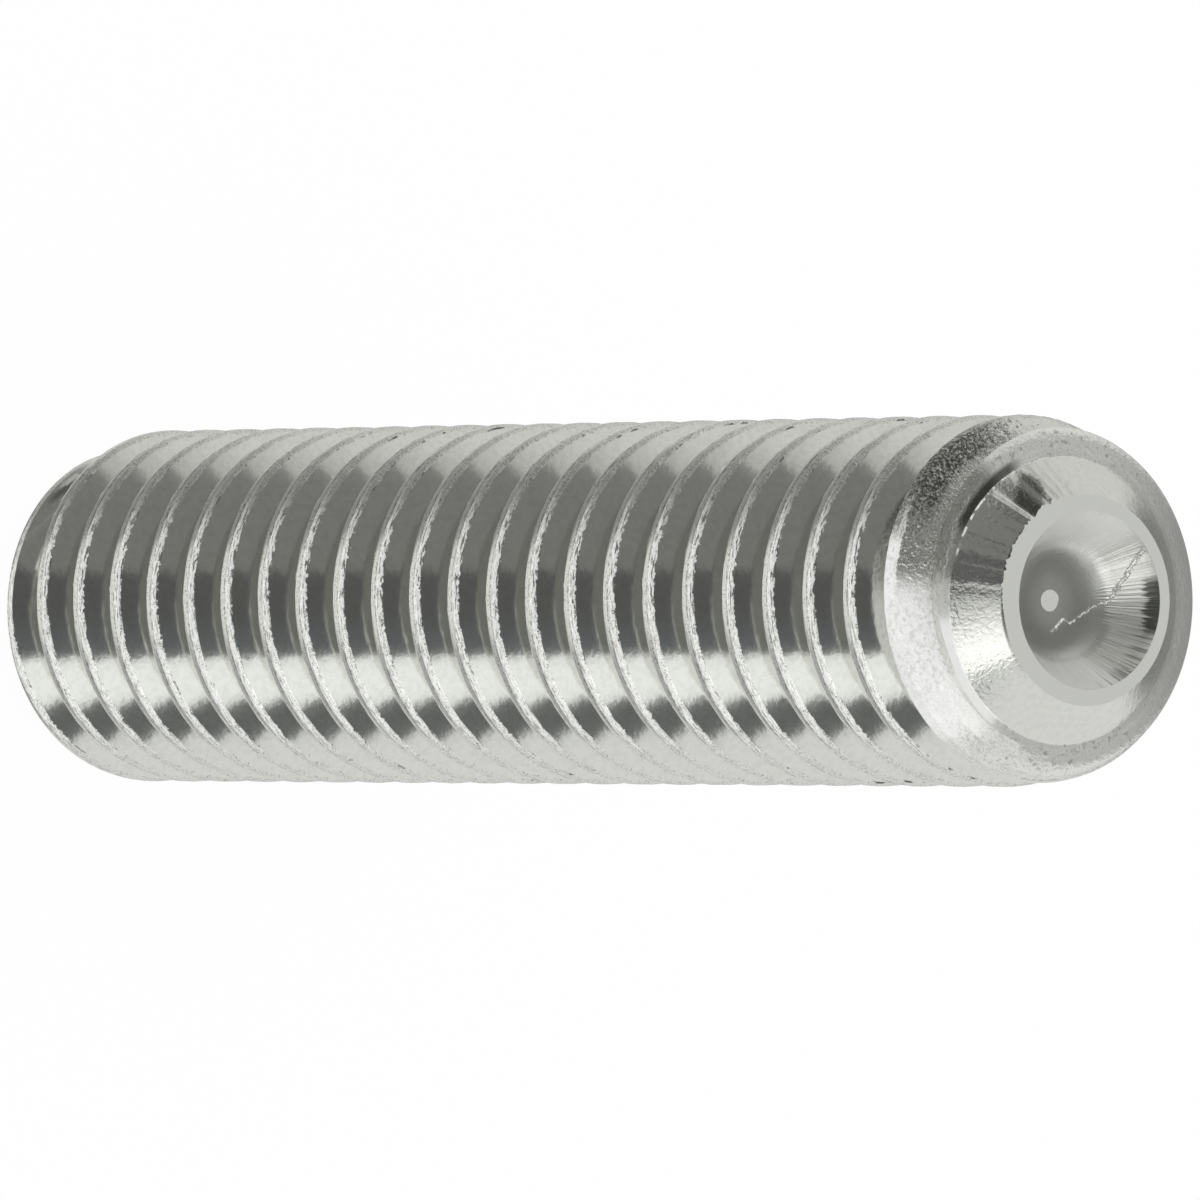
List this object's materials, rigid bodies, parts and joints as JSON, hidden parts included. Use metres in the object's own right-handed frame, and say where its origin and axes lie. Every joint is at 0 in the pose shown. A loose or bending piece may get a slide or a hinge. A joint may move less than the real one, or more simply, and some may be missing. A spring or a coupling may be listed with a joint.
{
  "type": "grub set screw",
  "caption": "Headless threaded stud with a hexagon socket in one end and a cupped point on the other, for locking a collar or hub on a shaft.",
  "frame": {"origin": "middle of the flat socket end face", "axes": "+Z along the screw axis, from the socket end to the cup point"},
  "size_m": [0.0078, 0.0078, 0.0349],
  "materials": {
    "rolled_steel": "bright rolled steel, smooth flanks, rough torn crests"
  },
  "bodies": {
    "root": {"grub_screw": "rolled_steel"}
  },
  "joints": []
}
